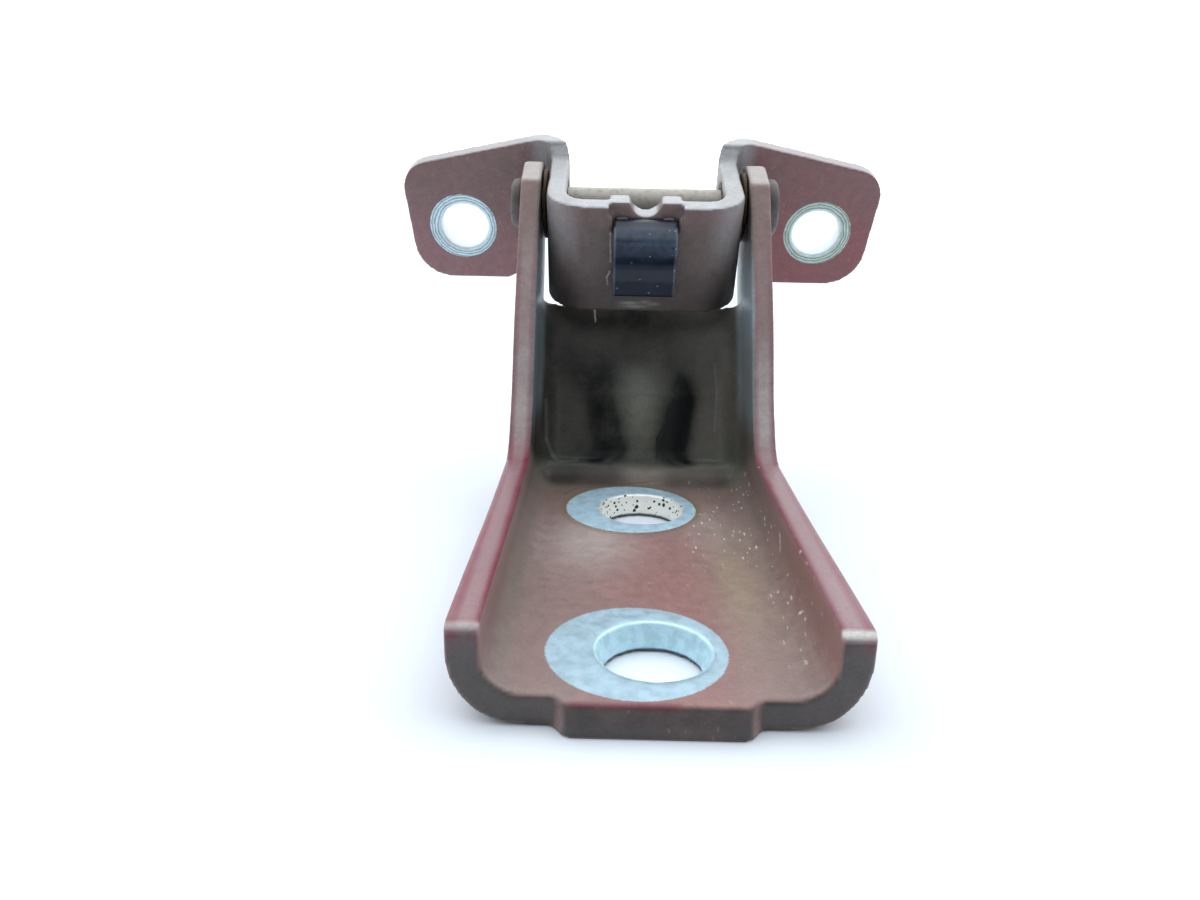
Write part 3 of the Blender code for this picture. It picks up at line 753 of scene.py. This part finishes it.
# The top swells up and out over the web, and a small sink mark lies in the upper lobe's face.
over_web = ramp(rise, 0.9, 1.8) * ramp(depth, -13.4, -13.8)
at += np.outer(TOP_SWELL * over_web * ramp(depth, -17.6, -14.6), LEAF_UP)
shoulder = over_web * ramp(np.abs(x), 4.4, 5.3) * ramp(depth, -16.1, -15.7)
at[:, 0] += SIDE_SWELL * np.sign(x) * shoulder
sink = patch((x, 5.3, 0.3), (rise, -0.6, 0.3)) * ramp(depth, -17, -18)
at += np.outer(SINK_DEPTH * sink, LEAF_BACK)
move_to(stop_buffer, at)
# A painted sheen over the buffer's top, and a paler line down each side edge.
lay(
    stop_buffer,
    flash=ramp(np.abs(np.abs(x) - BUFFER_HALF), 0.35, 0.1) * ramp(depth, -16.2, -17),
    handled=ramp(rise, -4, 0.5) * ramp(depth, -16, -17),
)

# EPDM rubber from a polished mould: dark and satin, with a bloom in patches, a painted sheen over
# its top, a paler mould line down each side that also paints the side edges' highlight, and dust
# specks held in its skin. In millimetres: how wide a patch of bloom and a grain of the skin are, and
# how far apart the specks lie.
BLOOM_PATCH, SKIN_GRAIN, DUST_APART = 2.0, 0.2857, 1.8182
rubber, tree, shader, spot = start_material("moulded_epdm_rubber")
bloom_noise = {"Vector": spot, "Scale": 1 / BLOOM_PATCH, "Detail": 5, "Roughness": 0.65}
bloom = add(tree, "TexNoise", bloom_noise).outputs["Fac"]
grain_noise = {"Vector": spot, "Scale": 1 / SKIN_GRAIN, "Detail": 2}
grain = add(tree, "TexNoise", grain_noise).outputs["Fac"]
bloomed = add(tree, "MapRange", {"Value": bloom, 1: 0.3, 2: 0.7}).outputs[0]
rubbery = {0: bloomed, 6: linear("#0d1524"), 7: linear("#18263c")}
tone = add(tree, "Mix", rubbery, data_type="RGBA").outputs[2]
handled = add(tree, "Attribute", attribute_name="handled").outputs["Fac"]
dull = add(tree, "Math", {0: handled, 1: bloomed}, operation="MULTIPLY").outputs[0]
tone = add(tree, "Mix", {0: dull, 6: tone, 7: linear("#33455a")}, data_type="RGBA").outputs[2]
# The mould line also paints a highlight on the side edges.
flash = add(tree, "Attribute", attribute_name="flash").outputs["Fac"]
line = add(tree, "Math", {0: flash, 1: 0.3}, operation="MULTIPLY").outputs[0]
tone = add(tree, "Mix", {0: line, 6: tone, 7: linear("#8b929a")}, data_type="RGBA").outputs[2]
scattered = {"Vector": spot, "Scale": 1 / DUST_APART}
dots = add(tree, "TexVoronoi", scattered).outputs["Distance"]
dusty = add(tree, "MapRange", {"Value": dots, 1: 0.1, 2: 0.07, 4: 0.6}).outputs[0]
tone = add(tree, "Mix", {0: dusty, 6: tone, 7: linear("#9fb0bd")}, data_type="RGBA").outputs[2]
gloss = add(tree, "MapRange", {"Value": bloom, 1: 0.3, 2: 0.7, 3: 0.36, 4: 0.5}).outputs[0]
skin = add(tree, "Bump", {"Height": grain, "Strength": 0.2, "Distance": 0.03 * MM}).outputs[0]
tree.links.new(tone, shader.inputs["Base Color"])
tree.links.new(gloss, shader.inputs["Roughness"])
tree.links.new(skin, shader.inputs["Normal"])
stop_buffer.data.materials.append(rubber)
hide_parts("stop_buffer")
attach(stop_buffer, "door_side")


# ---- Surroundings --------------------------------------------------------------------------------
# A white laminate table top, far wider than the hinge and just clear of it, under soft light from
# overhead and behind, as by a window.

TABLE_WIDTH = 8
TABLE_TOP = -0.00005
WINDOW_WAY = (0, 0.66, 0.75)
ROOM_LIGHT, WINDOW_LIGHT = 0.22, 2.4

bpy.ops.mesh.primitive_plane_add(size=TABLE_WIDTH, location=(0, 0, TABLE_TOP))
table = bpy.context.object
table.name = "white_table"
table_white = bpy.data.materials.new("white_table_top")
table_white.use_nodes = True
table_shader = table_white.node_tree.nodes["Principled BSDF"]
table_shader.inputs["Base Color"].default_value = linear("#e2eaf3")
table_shader.inputs["Roughness"].default_value = 0.8
table.data.materials.append(table_white)

studio = bpy.data.worlds.new("studio")
scene.world = studio
studio.use_nodes = True
sky = studio.node_tree
direction = add(sky, "TexCoord").outputs["Generated"]
towards = {0: direction, 1: WINDOW_WAY}
window = add(sky, "VectorMath", towards, operation="DOT_PRODUCT").outputs["Value"]
brightness = {"Value": window, 1: -0.2, 2: 0.95, 3: ROOM_LIGHT, 4: WINDOW_LIGHT}
glow = add(sky, "MapRange", brightness).outputs[0]
sky.nodes["Background"].inputs["Color"].default_value = (0.95, 0.98, 1, 1)
sky.links.new(glow, sky.nodes["Background"].inputs["Strength"])
scene.view_settings.view_transform = "Standard"
